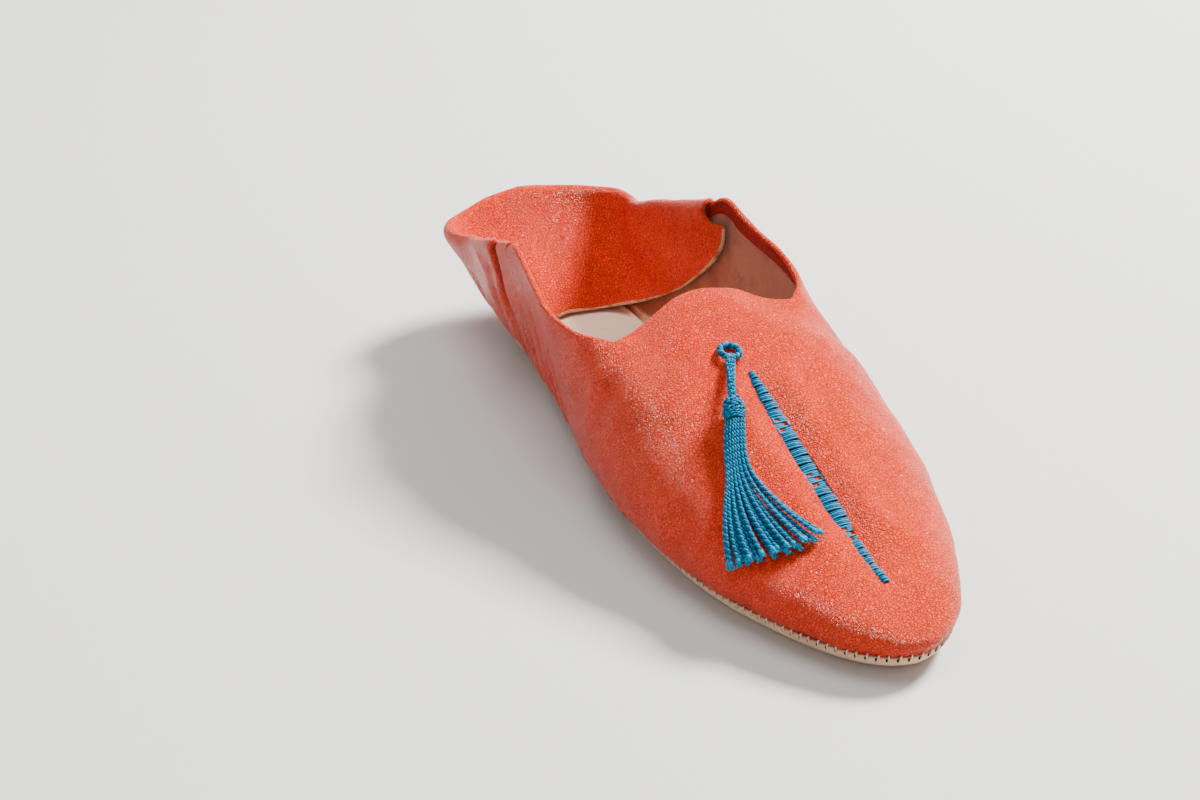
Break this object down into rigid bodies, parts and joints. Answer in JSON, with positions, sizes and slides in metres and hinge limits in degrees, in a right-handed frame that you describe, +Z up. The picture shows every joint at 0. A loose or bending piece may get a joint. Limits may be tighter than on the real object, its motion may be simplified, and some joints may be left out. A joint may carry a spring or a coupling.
{
  "type": "babouche slipper",
  "caption": "Soft leather babouche slipper with a folded-in heel, raised tongue, embroidered vamp slit and a fringed silk tassel.",
  "frame": {"origin": "on the floor, under the middle of the slipper's overall box", "axes": "+Y from toe to heel, +X to the right when looking from the toe to the heel, +Z up"},
  "size_m": [0.0886, 0.2774, 0.0602],
  "materials": {
    "upper_leather": "satin, fine goatskin grain",
    "sole_leather": "matt natural vegetable-tanned leather",
    "insole_leather": "matt pale lining leather",
    "suede_lining": "brown suede flesh side",
    "silk_thread": "satin twisted thread",
    "sewing_thread": "matt waxed thread"
  },
  "bodies": {
    "root": {"sole": "sole_leather", "insole": "insole_leather", "upper": "upper_leather", "embroidery_band": "silk_thread", "tassel_cord": "silk_thread", "tassel_head": "silk_thread", "tassel_skirt": "silk_thread"}
  },
  "joints": []
}
